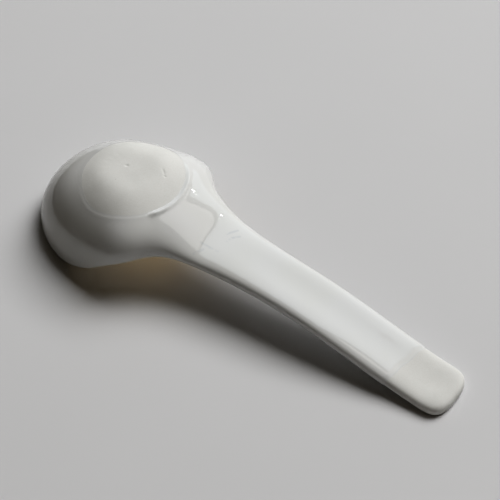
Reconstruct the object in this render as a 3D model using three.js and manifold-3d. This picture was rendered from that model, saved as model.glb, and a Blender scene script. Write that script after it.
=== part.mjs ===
// Porcelain soup spoon, lying face down: the bowl's front rim and the handle's tip touch the table, and the
// foot that it stands on in use is on top. Millimetres, +X from the bowl to the tip, +Z up.
// One fired porcelain body carries one coat of glaze, which leaves the foot and the handle's end bare.
// Stations are measured along the spoon, from the front of the bowl.
import * as THREE from 'three';
import { LoftGeometry } from 'three/addons/geometries/LoftGeometry.js';
import { mergeVertices } from 'three/addons/utils/BufferGeometryUtils.js';
import Module from 'manifold-3d';

const { clamp, degToRad, lerp, smoothstep } = THREE.MathUtils;

// Outline over the glaze, seen from above
const SPOON_LENGTH = 130.4;
const BOWL_WIDTH = 44;
const BOWL_CROWN_STATION = 27.6;
const HANDLE_WIDTH = 16.1;
const HANDLE_START = 84.6;
const TIP_LENGTH = 6.2;
const SHOULDER_REACH = 26;
const NECK_REACH = 57;

// Heights over the glaze, seen from the side: the dome, the foot's flat and the lowest edge
const CROWN_HEIGHT = 24.4;
const FOOT_HEIGHT = 23.2;
const FOOT_BLEND = 0.5;
const HANDLE_THICKNESS = 3.85;
const TROUGH_DEPTH = 0.5;
const TROUGH_SPREAD = 5.4;
const TROUGH_START = 58;
const TROUGH_FULL = 84;
const GROOVE_DEPTH = 0.1;
const NECK_START = 31;
const NECK_END = 58;
const RIM_REST_END = 16.5;
const RISE_STATION = 33;
const RISE_HEIGHT = 6.8;
const RISE_SLOPE = 0.8;
const ARCH_STATION = 51.7;
const ARCH_HEIGHT = 11.6;
const ARCH_SLOPE = -0.15;
const MID_HANDLE_STATION = 88;
const MID_HANDLE_HEIGHT = 7.8;
const MID_HANDLE_SLOPE = -0.16;
const TIP_SLOPE = -0.045;

// Thicknesses
const WALL_THICKNESS = 2.2;
const FLOOR_THICKNESS = 2.8;
const GLAZE_THICKNESS = 0.2;
const BEAD_THICKNESS = 0.4;
const BEAD_WIDTH = 1;
const GLAZE_SEAM = 0.02;

// What the glaze leaves bare
const FOOT_STATION = 28.7;
const FOOT_LENGTH = 27.5;
const FOOT_WIDTH = 28.5;
const BARE_END_LENGTH = 14.8;
const DIP_TILT = degToRad(8);

// Roundness of a quarter curve's handles, and of the domed sections: 2 is an ellipse, more is squarer
const FRONT_ROUND = 0.567;
const TIP_ROUND = 0.8;
const FRONT_POWER = 1.81;
const BOWL_POWER = 2.12;
const HANDLE_POWER = 3.6;
const POWER_BLEND_START = 36;

// Fineness of the mesh
const OUTLINE_STEPS = 40;
const OUTER_STEPS = 10;
const RIM_STEPS = 4;
const INNER_STEPS = 7;
const OVAL_STEPS = 24;

const COAT = GLAZE_SEAM + GLAZE_THICKNESS;
const RIM_RADIUS = WALL_THICKNESS / 2;
const BOWL_HALF = BOWL_WIDTH / 2 - COAT;
const HANDLE_HALF = HANDLE_WIDTH / 2 - COAT;
const TIP_START = SPOON_LENGTH - TIP_LENGTH;
const CLEAR_OF_SPOON = CROWN_HEIGHT;

const wasm = await Module();
wasm.setup();

const at = (x, y) => new THREE.Vector2(x, y);

// A quarter curve between two square directions that meet at the corner.
function quarter(start, corner, end, round) {
  const leave = start.clone().lerp(corner, round);
  const arrive = end.clone().lerp(corner, round);
  return new THREE.CubicBezierCurve(start, leave, arrive, end);
}

// The body's closed outline, clockwise from above, starting at the front of the bowl.
function outlineLoop() {
  const front = at(COAT, 0);
  const side = at(BOWL_CROWN_STATION, BOWL_HALF);
  const neck = at(HANDLE_START, HANDLE_HALF);
  const corner = at(TIP_START, HANDLE_HALF);
  const half = new THREE.CurvePath();
  half.add(quarter(front, at(COAT, BOWL_HALF), side, FRONT_ROUND));
  half.add(new THREE.CubicBezierCurve(
    side,
    at(BOWL_CROWN_STATION + SHOULDER_REACH, BOWL_HALF),
    at(HANDLE_START - NECK_REACH, HANDLE_HALF),
    neck,
  ));
  half.add(new THREE.LineCurve(neck, corner));
  half.add(quarter(corner, at(SPOON_LENGTH, HANDLE_HALF), at(SPOON_LENGTH, 0), TIP_ROUND));
  const far = half.getSpacedPoints(OUTLINE_STEPS);
  const near = far.slice(1, -1).reverse().map((p) => at(p.x, -p.y));
  return [...far, ...near];
}

// The outline moved inwards by an even distance.
function insetLoop(loop, distance) {
  return loop.map((p, i) => {
    const ahead = loop[(i + 1) % loop.length];
    const behind = loop.at(i - 1);
    const along = ahead.clone().sub(behind).normalize();
    return at(p.x + along.y * distance, p.y - along.x * distance);
  });
}

// A cubic between two posts, each with a station, a height and a slope.
function cubicBetween(from, to, station) {
  const span = to.station - from.station;
  const t = (station - from.station) / span;
  const fall = 2 * t ** 3 - 3 * t ** 2 + 1;
  const leave = (t ** 3 - 2 * t ** 2 + t) * span * from.slope;
  const arrive = (t ** 3 - t ** 2) * span * to.slope;
  return fall * from.height + leave + (1 - fall) * to.height + arrive;
}

// Heights of the body's lowest edge: its rest on the table at the front, an arch, and the bare tip's rest.
const RIM_POSTS = [
  { station: RIM_REST_END, height: COAT, slope: 0 },
  { station: RISE_STATION, height: RISE_HEIGHT + COAT, slope: RISE_SLOPE },
  { station: ARCH_STATION, height: ARCH_HEIGHT + COAT, slope: ARCH_SLOPE },
  { station: MID_HANDLE_STATION, height: MID_HANDLE_HEIGHT + COAT, slope: MID_HANDLE_SLOPE },
  { station: SPOON_LENGTH, height: 0, slope: TIP_SLOPE },
];

function rimHeight(station) {
  if (station <= RIM_REST_END) return COAT;
  const next = RIM_POSTS.findIndex((post, i) => i > 0 && station <= post.station);
  const last = next < 0 ? RIM_POSTS.length - 1 : next;
  return cubicBetween(RIM_POSTS[last - 1], RIM_POSTS[last], station);
}

const neckBlend = (station) => smoothstep(station, NECK_START, NECK_END);

const handleBack = (station) => rimHeight(station) + HANDLE_THICKNESS - 2 * COAT;

const handleFront = (station) => rimHeight(station) + RIM_RADIUS + GROOVE_DEPTH;

// Height of the body's convex side along the middle of the spoon.
function outerCrown(station) {
  return lerp(CROWN_HEIGHT - COAT, handleBack(station), neckBlend(station));
}

// Height of the body's hollow side along the middle of the spoon.
function innerCrown(station) {
  return lerp(FOOT_HEIGHT - FLOOR_THICKNESS, handleFront(station), neckBlend(station));
}

function sectionPower(edge) {
  const towardsSide = (edge.y / BOWL_HALF) ** 2;
  if (edge.x < BOWL_CROWN_STATION) return lerp(FRONT_POWER, BOWL_POWER, Math.min(towardsSide, 1));
  return lerp(BOWL_POWER, HANDLE_POWER, smoothstep(edge.x, POWER_BLEND_START, HANDLE_START));
}

// The foot's flat: heights above it are pressed down to it, over a rounded edge.
function pressedFlat(height) {
  const over = clamp(height - FOOT_HEIGHT + FOOT_BLEND, 0, 2 * FOOT_BLEND);
  return Math.min(height, FOOT_HEIGHT + FOOT_BLEND) - over ** 2 / (4 * FOOT_BLEND);
}

// Depth of the trough along the handle's back, which deepens from the neck and rounds off at the tip.
function troughDepth(place) {
  const beyond = Math.max(place.x - TIP_START, 0);
  const share = smoothstep(place.x, TROUGH_START, TROUGH_FULL);
  return TROUGH_DEPTH * share * Math.exp(-(place.y ** 2 + beyond ** 2) / TROUGH_SPREAD ** 2);
}

const outline = outlineLoop();
const innerEdge = insetLoop(outline, WALL_THICKNESS);
const rimBase = outline.map((p) => rimHeight(p.x) + RIM_RADIUS);

// One ring of a domed side, from the spoon's middle line at angle 0 down to the rim at a right angle.
function domeRing(edge, crown, angle) {
  return edge.map((p, i) => {
    const spine = clamp(p.x, BOWL_CROWN_STATION, TIP_START);
    const power = 2 / sectionPower(p);
    const across = Math.sin(angle) ** power;
    const up = Math.cos(angle) ** power;
    const height = lerp(rimBase[i], crown(spine), up);
    return new THREE.Vector3(lerp(spine, p.x, across), p.y * across, height);
  });
}

// One ring of the round rim, from the outer side at roll 0 to the inner side at half a turn.
function rimRing(roll) {
  const edge = insetLoop(outline, RIM_RADIUS * (1 - Math.cos(roll)));
  return edge.map((p, i) => new THREE.Vector3(p.x, p.y, rimBase[i] - RIM_RADIUS * Math.sin(roll)));
}

const rightAngle = Math.PI / 2;
const countTo = (steps) => Array.from({ length: steps + 1 }, (_, i) => i / steps);

function outerRings() {
  const rings = countTo(OUTER_STEPS).map((t) => domeRing(outline, outerCrown, t * rightAngle));
  rings.flat().forEach((p) => p.setZ(pressedFlat(p.z) - troughDepth(p)));
  return rings;
}

function innerRings() {
  return countTo(INNER_STEPS).map((t) => domeRing(innerEdge, innerCrown, t * rightAngle)).reverse();
}

function rimRings() {
  return countTo(RIM_STEPS).slice(1, -1).map((t) => rimRing(t * Math.PI));
}

// Joins vertices that share a place, and drops the triangles that this closes up.
function welded(geometry) {
  const bare = new THREE.BufferGeometry();
  bare.setAttribute('position', geometry.getAttribute('position'));
  bare.setIndex(geometry.getIndex());
  const merged = mergeVertices(bare);
  const corners = Array.from(merged.index.array);
  const kept = [];
  for (let i = 0; i < corners.length; i += 3) {
    const triangle = corners.slice(i, i + 3);
    if (new Set(triangle).size === 3) kept.push(...triangle);
  }
  merged.setIndex(kept);
  return merged;
}

// The same surface moved outwards by an even distance.
function grown(geometry, distance) {
  const moved = geometry.clone();
  moved.computeVertexNormals();
  const place = moved.getAttribute('position');
  const facing = moved.getAttribute('normal');
  const point = new THREE.Vector3();
  const normal = new THREE.Vector3();
  for (let i = 0; i < place.count; i += 1) {
    normal.fromBufferAttribute(facing, i);
    point.fromBufferAttribute(place, i).addScaledVector(normal, distance);
    place.setXYZ(i, point.x, point.y, point.z);
  }
  return moved;
}

function solidOf(geometry) {
  const closed = welded(geometry);
  return new wasm.Manifold(new wasm.Mesh({
    numProp: 3,
    vertProperties: closed.getAttribute('position').array,
    triVerts: new Uint32Array(closed.getIndex().array),
  }));
}

function geometryOf(solid) {
  const mesh = solid.getMesh();
  const geometry = new THREE.BufferGeometry();
  geometry.setAttribute('position', new THREE.BufferAttribute(mesh.vertProperties, mesh.numProp));
  geometry.setIndex(new THREE.BufferAttribute(mesh.triVerts, 1));
  geometry.computeVertexNormals();
  return geometry;
}

// The fired body: bowl, neck and grooved handle in one skin, from the foot round the rim to the hollow.
function bodySkin() {
  return welded(new LoftGeometry([...outerRings(), ...rimRings(), ...innerRings()]));
}

// The space under the hollow side, reaching up to the middle of the wall and down past the table.
function hollowSpace() {
  const roof = innerRings().reverse();
  roof.flat().forEach((p) => p.setZ(p.z + WALL_THICKNESS / 2));
  const floor = roof.at(-1).map((p) => p.clone().setZ(-CLEAR_OF_SPOON));
  return solidOf(new LoftGeometry([...roof, floor], { capEnd: true }));
}

// An oval column over the foot, grown by a margin, that stops inside the wall.
function footColumn(margin) {
  const oval = new THREE.Shape();
  oval.absellipse(FOOT_STATION, 0, FOOT_LENGTH / 2 + margin, FOOT_WIDTH / 2 + margin, 0, 2 * Math.PI);
  const column = new THREE.ExtrudeGeometry(oval, {
    depth: CROWN_HEIGHT + CLEAR_OF_SPOON,
    curveSegments: OVAL_STEPS,
    bevelEnabled: false,
  });
  return solidOf(column).subtract(hollowSpace());
}

// A block over the handle's end, from the slanting dip line, moved towards the bowl by a margin.
function endBlock(margin) {
  const length = BARE_END_LENGTH + margin + CLEAR_OF_SPOON;
  const block = new THREE.BoxGeometry(length, 2 * HANDLE_WIDTH, 2 * CLEAR_OF_SPOON);
  block.translate(length / 2, 0, 0);
  block.rotateZ(-DIP_TILT);
  block.translate(SPOON_LENGTH - BARE_END_LENGTH - margin, 0, 0);
  return solidOf(block);
}

// The glaze: an even coat, thicker in a bead along its two edges, open at the foot and at the handle's end.
function glazeSolid(skin) {
  const underside = solidOf(grown(skin, GLAZE_SEAM));
  const coat = solidOf(grown(skin, COAT)).subtract(underside);
  const thickCoat = solidOf(grown(skin, GLAZE_SEAM + BEAD_THICKNESS)).subtract(underside);
  const bead = thickCoat.intersect(footColumn(BEAD_WIDTH).add(endBlock(BEAD_WIDTH)));
  return coat.add(bead).subtract(footColumn(0)).subtract(endBlock(0));
}

function namedMesh(name, geometry, look) {
  const mesh = new THREE.Mesh(geometry, new THREE.MeshStandardMaterial(look));
  mesh.name = name;
  return mesh;
}

const skin = bodySkin();
const biscuit = { color: 0xdedcd2, roughness: 0.75, metalness: 0 };
const glass = { color: 0xe9eae8, roughness: 0.12, metalness: 0 };

const spoon = new THREE.Group();
spoon.position.x = -SPOON_LENGTH / 2;
spoon.add(namedMesh('porcelain_body', skin, biscuit));
spoon.add(namedMesh('glaze_coat', geometryOf(glazeSolid(skin)), glass));

const part = new THREE.Group();
part.add(spoon);

export default part;
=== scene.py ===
# A porcelain soup spoon lying face down: a fired porcelain body, bare on its foot and at the handle's end,
# and the white glossy glaze that covers the rest. Metres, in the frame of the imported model.
import math

import bmesh
import bpy
from mathutils import Matrix, Vector


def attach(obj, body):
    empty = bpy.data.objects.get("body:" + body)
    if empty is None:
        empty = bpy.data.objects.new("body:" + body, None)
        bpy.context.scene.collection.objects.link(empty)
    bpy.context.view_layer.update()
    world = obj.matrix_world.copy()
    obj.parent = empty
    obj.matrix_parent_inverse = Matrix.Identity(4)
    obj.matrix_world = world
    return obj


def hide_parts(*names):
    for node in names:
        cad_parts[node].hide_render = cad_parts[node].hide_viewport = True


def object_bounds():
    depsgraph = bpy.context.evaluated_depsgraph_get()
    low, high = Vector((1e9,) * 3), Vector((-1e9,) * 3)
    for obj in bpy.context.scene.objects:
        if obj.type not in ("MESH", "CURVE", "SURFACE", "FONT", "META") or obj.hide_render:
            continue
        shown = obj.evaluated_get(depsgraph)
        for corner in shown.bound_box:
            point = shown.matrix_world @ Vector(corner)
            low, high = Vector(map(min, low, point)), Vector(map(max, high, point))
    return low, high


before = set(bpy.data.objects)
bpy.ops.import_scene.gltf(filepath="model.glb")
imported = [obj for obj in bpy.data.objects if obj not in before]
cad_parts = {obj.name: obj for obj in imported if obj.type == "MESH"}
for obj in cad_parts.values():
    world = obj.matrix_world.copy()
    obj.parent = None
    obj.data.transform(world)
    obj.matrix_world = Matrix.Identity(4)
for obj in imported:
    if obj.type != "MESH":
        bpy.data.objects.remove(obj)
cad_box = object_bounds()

MM = 0.001
SCENE = bpy.context.scene

# The ends of the spoon: stations are counted from the front of the bowl
FRONT = cad_box[0][0]
TIP = cad_box[1][0]

# The bare foot: an oval on the convex side, and how its edge wavers, as (waves round it, size, phase)
FOOT_STATION = 28.7 * MM
FOOT_LENGTH = 27.5 * MM
FOOT_WIDTH = 28.5 * MM
FOOT_WAVER = (
    (2, 0.16 * MM, math.radians(140)),
    (3, 0.12 * MM, math.radians(250)),
    (7, 0.05 * MM, math.radians(20)),
)
CONVEX_FACING = 0.2
FAR_OUTSIDE = 1.0

# The bare end of the handle, up to the slanting line that the dipped glaze reached, which wavers over a span
BARE_END = 14.8 * MM
DIP_SLANT = math.radians(8)
DIP_WAVER = 0.12 * MM
DIP_WAVES = 3
DIP_SPAN = 20 * MM

# The glaze: its seam to the body, its even coat, and its edges, which thin out over a feather
SEAM = 0.02 * MM
THINNEST = 1.5 * SEAM
COAT = 0.22 * MM
FEATHER = 6 * MM
DIP_FEATHER = 1.5 * MM

# The bead that the glaze ran into at the foot, and the turns round the foot between which it rises and ends
BEAD_EDGE = 0.8 * MM
BEAD_HEIGHT = 0.44 * MM
BEAD_MIDDLE = 0.9 * MM
BEAD_SPREAD = 0.6 * MM
BEAD_START = (math.radians(-38), math.radians(-27))
BEAD_END = (math.radians(20), math.radians(62))
LIP_START = (math.radians(-150), math.radians(-110))
LIP_SHARE = 0.1

# Reaches at which the skin is cut beside the glaze's edges, and how near a corner counts as on a cut
BEAD_CUTS = [share * MM for share in (0, 0.1, 0.3, 0.5, 0.7, 0.9, 1.15, 1.4, 1.7, 2.1, 2.6)]
SNAP = 0.02 * MM

# The smooth skin: how triangles are paired into quads, and how fine and how close to the corners it gets
WELD = 0.001 * MM
PAIR_FOLD = math.radians(80)
PAIR_SKEW = math.radians(160)
SKIN_LEVELS = 2
SKIN_FITS = 4

# Pits in the foot: station, side, half length, half width, turn, depth
FOOT_PITS = (
    (26.2 * MM, 0.6 * MM, 0.45 * MM, 0.3 * MM, math.radians(40), 0.18 * MM),
    (35.3 * MM, 4.7 * MM, 0.9 * MM, 0.28 * MM, math.radians(-40), 0.19 * MM),
    (36.6 * MM, 3.6 * MM, 0.4 * MM, 0.3 * MM, math.radians(20), 0.12 * MM),
)
PIT_PATCH = 4
PIT_CUTS = 3
PIT_FACING = 0.5

# The look of the glaze
GLAZE_GREYER = (0.725, 0.73, 0.715, 1)
GLAZE_WHITER = (0.735, 0.74, 0.735, 1)
GLAZE_ROUGHNESS = 0.02
GLAZE_ROUGHER = 0.04
GLAZE_IOR = 1.55
PINHOLE_COLOUR = (0.3, 0.27, 0.22, 1)
PINHOLE_SHARE = 0.35

# Faint blue-grey strokes painted into the glaze's colour on the neck: the station and side of each end
STROKES = (
    ((57.8 * MM, 2.4 * MM), (59.2 * MM, 5.2 * MM)),
    ((59.1 * MM, 0.2 * MM), (59.6 * MM, 2.1 * MM)),
    ((59.6 * MM, 2.1 * MM), (60.9 * MM, 3.8 * MM)),
    ((54.5 * MM, -4.5 * MM), (59.2 * MM, -3.9 * MM)),
    ((54.9 * MM, -8.3 * MM), (56 * MM, -5.8 * MM)),
)
STROKE_REACH = 0.6 * MM
STROKE_FLOOR = 12 * MM
STROKE_FADE = 1 * MM
STROKE_COLOUR = (0.43, 0.47, 0.51, 1)
STROKE_SHARE = 0.28

# The look of the bare porcelain
BISCUIT_DARKER = (0.71, 0.71, 0.69, 1)
BISCUIT_LIGHTER = (0.745, 0.745, 0.725, 1)
BISCUIT_ROUGHNESS = 0.68
BISCUIT_ROUGHER = 0.12
BISCUIT_IOR = 1.45
GRAIN_COLOUR = (0.6, 0.59, 0.54, 1)
GRAIN_SHARE = 0.25
SPECK_COLOUR = (0.28, 0.25, 0.2, 1)
SPECK_SHARE = 0.6

# The camera, fitted to the photographed outline
VIEW_FIELD = math.radians(18)
VIEW_TURN = math.radians(35.557)
VIEW_RISE = math.radians(47.85)
VIEW_DISTANCE = 422.05 * MM
VIEW_SHIFT_RIGHT = 1.5535 * MM
VIEW_SHIFT_UP = 10.1438 * MM
VIEW_TARGET = Vector((-0.2 * MM, 0, 0))
VIEW_NEAREST = 0.01
SENSOR_WIDTH = 36

# The floor, square to the view: past one line on the bowl's side, the glaze mirrors the dark room instead
FLOOR_LENGTH = 4
FLOOR_WIDTH = 8
MIRRORED_END = -92 * MM
FLOOR_DARKER = (0.65, 0.65, 0.657, 1)
FLOOR_LIGHTER = (0.67, 0.67, 0.677, 1)
FLOOR_ROUGHNESS = 0.7
FLOOR_GLOSS = 0.2

# The light, in degrees turned from +Y towards +X and risen from the table
KEY_TURN = 11
KEY_RISE = 53
KEY_DISTANCE = 2.4
KEY_WIDTH = 1.5
KEY_HEIGHT = 1.6
KEY_RADIANCE = 6
KEY_COLOUR = (1, 1, 1)
PANE_DISTANCE = 0.8
WINDOW_TURNS = (-65, 14)
WINDOW_RISES = (20, 84)
WINDOW_RADIANCE = 1.35
WINDOW_COLOUR = (0.88, 0.95, 1)
WALL_TURNS = (19, 75)
WALL_RISES = (20, 80)
WALL_RADIANCE = 1.1
WALL_COLOUR = (1, 0.99, 0.96)
SILL_TURNS = (-58, 75)
SILL_RISES = (0, 20)
SILL_RADIANCE = 0.6
SILL_COLOUR = (1, 1, 1)
GLINT_TURNS = (8.6, 10)
GLINT_RISES = (40, 41.4)
GLINT_RADIANCE = 80
GLINT_COLOUR = (1, 1, 1)
ROOM_COLOUR = (1, 0.85, 0.6, 1)
ROOM_RADIANCE = 0.035

# A stand-in for daylight that comes through the porcelain and falls, warmed, on the table under the bowl
GLOW_PLACE = Vector((-31 * MM, 0, 12 * MM))
GLOW_SIZE = 20 * MM
GLOW_RADIANCE = 0.36
GLOW_COLOUR = (1, 0.72, 0.35)


def foot_turn(vert):
    """The angle round the foot's oval, from its handle side."""
    along = vert.co.x - FRONT - FOOT_STATION
    return math.atan2(vert.co.y / FOOT_WIDTH, along / FOOT_LENGTH)


def foot_reach(vert):
    """How far a point of the convex side lies outside the foot's edge, seen from above."""
    if vert.normal.z < CONVEX_FACING:
        return FAR_OUTSIDE
    along = vert.co.x - FRONT - FOOT_STATION
    turn = foot_turn(vert)
    edge = math.hypot(FOOT_LENGTH / 2 * math.cos(turn), FOOT_WIDTH / 2 * math.sin(turn))
    edge += sum(size * math.cos(waves * turn + phase) for waves, size, phase in FOOT_WAVER)
    return math.hypot(along, vert.co.y) - edge


def dip_reach(vert):
    """How far a point lies from the dip line, towards the bowl."""
    along = vert.co.x - (TIP - BARE_END)
    waver = DIP_WAVER * math.sin(DIP_WAVES * math.tau * vert.co.y / DIP_SPAN)
    return vert.co.y * math.sin(DIP_SLANT) - along * math.cos(DIP_SLANT) + waver


def cut_along(mesh, reach, distance):
    """Splits the faces along the line where reach comes to that distance."""
    mesh.normal_update()
    side = {vert: reach(vert) - distance for vert in mesh.verts}
    line = [vert for vert in mesh.verts if abs(side[vert]) < SNAP]
    for vert in line:
        side[vert] = 0
    for edge in [e for e in mesh.edges if side[e.verts[0]] * side[e.verts[1]] < 0]:
        start, end = edge.verts
        share = side[start] / (side[start] - side[end])
        line.append(bmesh.utils.edge_split(edge, start, share)[1])
    bmesh.ops.connect_verts(mesh, verts=line)


def loft_cage():
    """The body's solid with its triangles paired into quads, ready for smoothing."""
    cage = bmesh.new()
    cage.from_mesh(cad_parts["porcelain_body"].data)
    bmesh.ops.remove_doubles(cage, verts=cage.verts, dist=WELD)
    bmesh.ops.join_triangles(
        cage,
        faces=cage.faces,
        angle_face_threshold=PAIR_FOLD,
        angle_shape_threshold=PAIR_SKEW,
        topology_influence=1.0,
    )
    return cage


def as_object(mesh, name):
    data = bpy.data.meshes.new(name)
    mesh.to_mesh(data)
    piece = bpy.data.objects.new(name, data)
    SCENE.collection.objects.link(piece)
    return piece


def smooth_skin():
    """A smooth fine skin through the corners of the body's solid."""
    cage = loft_cage()
    corners = [vert.co.copy() for vert in cage.verts]
    form = as_object(cage, "skin_form")
    smooth = form.modifiers.new("Smooth", "SUBSURF")
    smooth.levels = smooth.render_levels = SKIN_LEVELS
    for _ in range(SKIN_FITS):
        reached = form.evaluated_get(bpy.context.evaluated_depsgraph_get()).to_mesh()
        for vert, corner in zip(form.data.vertices, corners):
            vert.co += corner - reached.vertices[vert.index].co
        form.data.update()
    skin = bmesh.new()
    skin.from_object(form, bpy.context.evaluated_depsgraph_get())
    bpy.data.objects.remove(form)
    cage.free()
    return skin


def smooth_rise(share):
    share = min(max(share, 0), 1)
    return share * share * (3 - 2 * share)


def rise_between(ends, turn):
    return smooth_rise((turn - ends[0]) / (ends[1] - ends[0]))


def bead_share(vert):
    """How much of a bead the glaze has there: all of it beside the neck, a faint lip on the near side."""
    turn = foot_turn(vert)
    full = rise_between(BEAD_START, turn)
    lip = LIP_SHARE * rise_between(LIP_START, turn)
    return max(full, lip) * (1 - rise_between(BEAD_END, turn))


def beaded(reach):
    """Thickness of the glaze at that reach from a beaded edge: a round lip, a swell, then the even coat."""
    inside = 1 - min(max(reach / BEAD_EDGE, 0), 1)
    swell = math.exp(-(((reach - BEAD_MIDDLE) / BEAD_SPREAD) ** 2))
    return (1 - inside * inside) * (COAT + BEAD_HEIGHT * swell)


def glaze_thickness(vert):
    if vert.co.x > 0:
        return COAT * smooth_rise(dip_reach(vert) / DIP_FEATHER)
    reach = foot_reach(vert)
    bead = bead_share(vert)
    return bead * beaded(reach) + (1 - bead) * COAT * smooth_rise(reach / FEATHER)


def is_bare(face):
    return max(foot_reach(v) for v in face.verts) < SNAP or max(dip_reach(v) for v in face.verts) < SNAP


def finish_piece(mesh, name, material, node):
    piece = as_object(mesh, name)
    mesh.free()
    piece.data.materials.append(material)
    piece.data.shade_smooth()
    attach(piece, "root")
    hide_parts(node)


def glaze_mesh(skin):
    """The glaze as a closed shell: an outer face, an underside on the body, and a lip round each edge."""
    shell = skin.copy()
    shell.normal_update()
    bare = [face for face in shell.faces if is_bare(face)]
    bmesh.ops.delete(shell, geom=bare, context="FACES")
    outer = list(shell.verts)
    moves = [(vert, vert.normal * max(glaze_thickness(vert), THINNEST)) for vert in outer]
    copy = bmesh.ops.duplicate(shell, geom=shell.faces[:])
    under = [item for item in copy["geom"] if isinstance(item, bmesh.types.BMFace)]
    for vert in {v for face in under for v in face.verts}:
        vert.co += vert.normal * SEAM
    bmesh.ops.reverse_faces(shell, faces=under)
    for vert, move in moves:
        vert.co += move
    lips = [edge for edge in shell.edges if edge.is_boundary]
    foot_lips = [edge for edge in lips if edge.verts[0].co.x < 0]
    dip_lips = [edge for edge in lips if edge.verts[0].co.x >= 0]
    bmesh.ops.bridge_loops(shell, edges=foot_lips)
    bmesh.ops.bridge_loops(shell, edges=dip_lips)
    for edge in lips:
        edge.smooth = False
    return shell


def dent(mesh, pit):
    """A shallow pit with soft walls, on a patch that is made finer first."""
    station, side, half_length, half_width, turn, depth = pit
    middle = Vector((FRONT + station, side, 0))
    along_pit = Matrix.Rotation(-turn, 3, "Z")

    def spread(place):
        flat = along_pit @ Vector((place.x - middle.x, place.y - middle.y, 0))
        return math.hypot(flat.x / half_length, flat.y / half_width)

    near = [f for f in mesh.faces if f.normal.z > PIT_FACING and spread(f.calc_center_median()) < PIT_PATCH]
    edges = list({edge for face in near for edge in face.edges})
    bmesh.ops.subdivide_edges(mesh, edges=edges, cuts=PIT_CUTS, use_grid_fill=True)
    bmesh.ops.poke(mesh, faces=[face for face in mesh.faces if len(face.verts) > 4])
    mesh.normal_update()
    for vert in mesh.verts:
        if vert.normal.z > PIT_FACING:
            vert.co.z -= depth * math.exp(-(spread(vert.co) ** 2))


def body_mesh(skin):
    body = skin.copy()
    body.normal_update()
    for pit in FOOT_PITS:
        dent(body, pit)
    return body


class Value:
    """A socket of a material, with Python's operators as Math nodes."""

    def __init__(self, finish, socket):
        self.finish = finish
        self.socket = socket

    def math(self, operation, *others):
        values = dict(enumerate((self, *others)))
        return self.finish.node("ShaderNodeMath", {"operation": operation}, values)

    def __add__(self, other):
        return self.math("ADD", other)

    def __mul__(self, other):
        return self.math("MULTIPLY", other)

    __radd__ = __add__

    def step(self, start, end):
        """0 up to start and 1 from end, with a smooth rise between them; or a fall, if end comes first."""
        settings = {"interpolation_type": "SMOOTHSTEP"}
        low, high = (0, 1) if start < end else (1, 0)
        inputs = {"Value": self, "From Min": min(start, end), "From Max": max(start, end)}
        return self.finish.node("ShaderNodeMapRange", settings, {**inputs, "To Min": low, "To Max": high})


class Finish:
    """A node material on Object coordinates."""

    def __init__(self, name):
        self.material = bpy.data.materials.new(name)
        self.material.use_nodes = True
        self.nodes = self.material.node_tree.nodes
        self.links = self.material.node_tree.links
        self.nodes.clear()
        self.place = self.node("ShaderNodeTexCoord", output="Object")

    def node(self, kind, settings=None, inputs=None, output=0):
        made = self.nodes.new(kind)
        for name, value in (settings or {}).items():
            setattr(made, name, value)
        for key, value in (inputs or {}).items():
            if isinstance(value, Value):
                self.links.new(value.socket, made.inputs[key])
            else:
                made.inputs[key].default_value = value
        return Value(self, made.outputs[output])

    def noise(self, size, detail=2.0, roughness=0.5):
        inputs = {"Vector": self.place, "Scale": 1 / size, "Detail": detail, "Roughness": roughness}
        return self.node("ShaderNodeTexNoise", None, inputs, "Fac")

    def specks(self, spacing, radius, share):
        """1 inside small dots: one in each cell of that spacing, in that share of the cells."""
        inputs = {"Vector": self.place, "Scale": 1 / spacing, "Randomness": 1.0}
        cells = self.node("ShaderNodeTexVoronoi", None, inputs)
        near = Value(self, cells.socket.node.outputs["Distance"]).step(radius / spacing, radius / spacing / 2)
        dye = Value(self, cells.socket.node.outputs["Color"])
        pick = self.node("ShaderNodeSeparateColor", None, {"Color": dye})
        return near * pick.math("LESS_THAN", share)

    def vector(self, operation, first, second, output="Vector"):
        return self.node("ShaderNodeVectorMath", {"operation": operation}, {0: first, 1: second}, output)

    def stroke(self, start, end, reach):
        """1 along a straight stroke seen from above, fading to 0 at that reach from it."""
        first = Vector((FRONT + start[0], start[1], 0))
        run = Vector((FRONT + end[0], end[1], 0)) - first
        offset = self.vector("MULTIPLY", self.vector("SUBTRACT", self.place, first), (1, 1, 0))
        share = self.vector("DOT_PRODUCT", offset, run / run.length_squared, "Value")
        along = self.node("ShaderNodeClamp", None, {"Value": share})
        line = self.node("ShaderNodeCombineXYZ", None, {"X": along * run.x, "Y": along * run.y})
        return self.vector("DISTANCE", offset, line, "Value").step(reach, 0)

    def height(self):
        return self.node("ShaderNodeSeparateXYZ", None, {0: self.place}, "Z")

    def mix(self, share, first, second):
        return self.node("ShaderNodeMix", {"data_type": "RGBA"}, {0: share, 6: first, 7: second}, 2)

    def bump(self, height, distance, onto=None):
        inputs = {"Height": height, "Distance": distance, "Strength": 1.0}
        if onto is not None:
            inputs["Normal"] = onto
        return self.node("ShaderNodeBump", None, inputs)

    def surface(self, **inputs):
        """The material, with the Principled shader's inputs named with underscores for spaces."""
        named = {name.replace("_", " "): value for name, value in inputs.items()}
        shader = self.node("ShaderNodeBsdfPrincipled", None, named)
        output = self.nodes.new("ShaderNodeOutputMaterial")
        self.links.new(shader.socket, output.inputs["Surface"])
        return self.material


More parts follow.
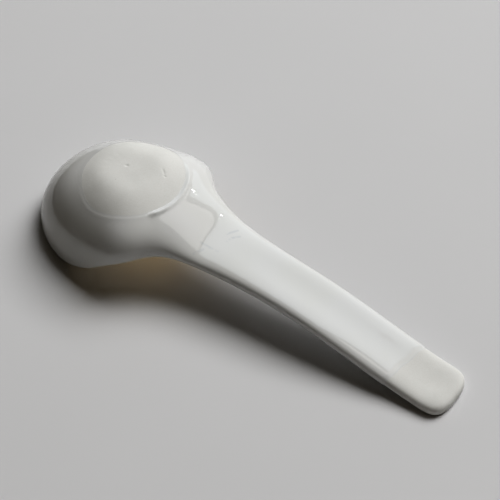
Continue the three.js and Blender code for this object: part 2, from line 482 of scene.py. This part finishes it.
def white_glaze():
    """Glossy clear glaze over white porcelain, with a slow ripple, faint strokes and a few pinholes."""
    glaze = Finish("white_glaze")
    drift = glaze.noise(size=18 * MM, detail=1.0)
    tone = glaze.mix(drift.step(0.35, 0.65), GLAZE_GREYER, GLAZE_WHITER)
    pinholes = glaze.specks(spacing=6 * MM, radius=0.16 * MM, share=0.25)
    pitted = glaze.mix(pinholes * PINHOLE_SHARE, tone, PINHOLE_COLOUR)
    # Blue-grey strokes painted into the glaze's colour, broken into patches and kept above STROKE_FLOOR on
    # the neck
    strokes = sum(glaze.stroke(start, end, STROKE_REACH) for start, end in STROKES)
    patches = glaze.noise(size=1.5 * MM, detail=2.0).step(0.3, 0.6)
    stroke_patches = patches * glaze.height().step(STROKE_FLOOR, STROKE_FLOOR + STROKE_FADE)
    colour = glaze.mix(strokes * stroke_patches * STROKE_SHARE, pitted, STROKE_COLOUR)
    ripple = glaze.bump(glaze.noise(size=7 * MM, detail=0.5), distance=0.012 * MM)
    skin = glaze.bump(glaze.noise(size=1.2 * MM, detail=1.0), distance=0.0008 * MM, onto=ripple)
    rough = glaze.noise(size=4 * MM, detail=3.0) * GLAZE_ROUGHER + GLAZE_ROUGHNESS
    return glaze.surface(Base_Color=colour, Roughness=rough, Normal=skin, IOR=GLAZE_IOR)


def bare_porcelain():
    """Fired, unglazed porcelain: matte and faintly warm, with a fine grain and a few dark specks."""
    biscuit = Finish("bare_porcelain")
    drift = biscuit.noise(size=6 * MM, detail=3.0)
    tone = biscuit.mix(drift.step(0.3, 0.7), BISCUIT_DARKER, BISCUIT_LIGHTER)
    grain = biscuit.noise(size=0.35 * MM, detail=3.0, roughness=0.7)
    grained = biscuit.mix(grain.step(0.35, 0.75) * GRAIN_SHARE, tone, GRAIN_COLOUR)
    specks = biscuit.specks(spacing=3.5 * MM, radius=0.14 * MM, share=0.3)
    colour = biscuit.mix(specks * SPECK_SHARE, grained, SPECK_COLOUR)
    relief = biscuit.bump(grain, distance=0.02 * MM)
    rough = drift * BISCUIT_ROUGHER + BISCUIT_ROUGHNESS
    return biscuit.surface(Base_Color=colour, Roughness=rough, Normal=relief, IOR=BISCUIT_IOR)


def pale_floor():
    floor = Finish("pale_floor")
    drift = floor.noise(size=60 * MM, detail=2.0)
    colour = floor.mix(drift, FLOOR_DARKER, FLOOR_LIGHTER)
    return floor.surface(Base_Color=colour, Roughness=FLOOR_ROUGHNESS, Specular_IOR_Level=FLOOR_GLOSS)


def floor_sheet(name, middle, material):
    sheet = bmesh.new()
    size = Matrix.Diagonal((FLOOR_LENGTH / 2, FLOOR_WIDTH / 2, 1, 1))
    place = Matrix.Rotation(VIEW_TURN, 4, "Z") @ Matrix.Translation((middle, 0, 0)) @ size
    bmesh.ops.create_grid(sheet, x_segments=1, y_segments=1, size=1, matrix=place)
    floor = as_object(sheet, name)
    sheet.free()
    floor.data.materials.append(material)
    return floor


def lay_floor():
    """The table in two sheets: the far one is seen, but the glaze doesn't mirror it."""
    material = pale_floor()
    floor_sheet("floor", MIRRORED_END + FLOOR_LENGTH / 2, material)
    beyond = floor_sheet("floor_beyond", MIRRORED_END - FLOOR_LENGTH / 2, material)
    beyond.visible_glossy = False
    beyond.visible_diffuse = False


def lamp(name, place, facing, width, height, radiance, colour):
    """A rectangular light of an even radiance that looks along facing."""
    data = bpy.data.lights.new(name, "AREA")
    data.shape = "RECTANGLE"
    data.size = width
    data.size_y = height
    data.energy = radiance * math.pi * width * height
    data.color = colour
    light = bpy.data.objects.new(name, data)
    light.matrix_world = Matrix.Translation(place) @ facing.to_track_quat("-Z", "Y").to_matrix().to_4x4()
    SCENE.collection.objects.link(light)
    return light


def towards(turn, rise, distance):
    """A place in the direction turned from +Y towards +X, at that rise, in degrees."""
    turn, rise = math.radians(turn), math.radians(rise)
    flat = Vector((math.sin(turn), math.cos(turn), 0)) * math.cos(rise)
    return (flat + Vector((0, 0, math.sin(rise)))) * distance


def key_light():
    """The soft daylight that shapes the spoon and its shadow."""
    place = towards(KEY_TURN, KEY_RISE, KEY_DISTANCE)
    key = lamp("key", place, -place, KEY_WIDTH, KEY_HEIGHT, KEY_RADIANCE, KEY_COLOUR)
    key.visible_glossy = False


def glow_light():
    glow = lamp("glow", GLOW_PLACE, Vector((0, 0, -1)), GLOW_SIZE, GLOW_SIZE, GLOW_RADIANCE, GLOW_COLOUR)
    glow.visible_camera = False
    glow.visible_glossy = False


def pane(name, turns, rises, radiance, colour):
    """A bright upright pane between two turns and two rises, for reflections: diffuse surfaces ignore it."""
    left, right = (PANE_DISTANCE * math.tan(math.radians(turn)) for turn in turns)
    low, high = (PANE_DISTANCE * math.tan(math.radians(rise)) for rise in rises)
    place = Vector(((left + right) / 2, PANE_DISTANCE, (low + high) / 2))
    glass = lamp(name, place, Vector((0, -1, 0)), right - left, high - low, radiance, colour)
    glass.visible_diffuse = False


def light_up():
    world = bpy.data.worlds.new("room")
    world.use_nodes = True
    room = world.node_tree.nodes["Background"]
    room.inputs["Color"].default_value = ROOM_COLOUR
    room.inputs["Strength"].default_value = ROOM_RADIANCE
    SCENE.world = world
    key_light()
    glow_light()
    pane("window", WINDOW_TURNS, WINDOW_RISES, WINDOW_RADIANCE, WINDOW_COLOUR)
    pane("wall", WALL_TURNS, WALL_RISES, WALL_RADIANCE, WALL_COLOUR)
    pane("sill", SILL_TURNS, SILL_RISES, SILL_RADIANCE, SILL_COLOUR)
    pane("glint", GLINT_TURNS, GLINT_RISES, GLINT_RADIANCE, GLINT_COLOUR)


def set_camera():
    turn, rise = VIEW_TURN, VIEW_RISE
    right = Vector((math.cos(turn), math.sin(turn), 0))
    ahead = Vector((-math.sin(turn) * math.cos(rise), math.cos(turn) * math.cos(rise), -math.sin(rise)))
    up = right.cross(ahead)
    eye = VIEW_TARGET - ahead * VIEW_DISTANCE + right * VIEW_SHIFT_RIGHT + up * VIEW_SHIFT_UP
    data = bpy.data.cameras.new("camera")
    data.sensor_width = SENSOR_WIDTH
    data.lens = data.sensor_width / 2 / math.tan(VIEW_FIELD / 2)
    data.clip_start = VIEW_NEAREST
    camera = bpy.data.objects.new("camera", data)
    axes = Matrix((right, up, -ahead)).transposed().to_4x4()
    camera.matrix_world = Matrix.Translation(eye) @ axes
    SCENE.collection.objects.link(camera)
    SCENE.camera = camera


def make_spoon():
    skin = smooth_skin()
    body = body_mesh(skin)
    for distance in BEAD_CUTS:
        cut_along(skin, foot_reach, distance)
        cut_along(skin, dip_reach, distance)
    finish_piece(glaze_mesh(skin), "glaze", white_glaze(), "glaze_coat")
    finish_piece(body, "porcelain", bare_porcelain(), "porcelain_body")
    skin.free()


make_spoon()
lay_floor()
light_up()
set_camera()
SCENE.view_settings.view_transform = "Standard"
SCENE.view_settings.look = "High Contrast"
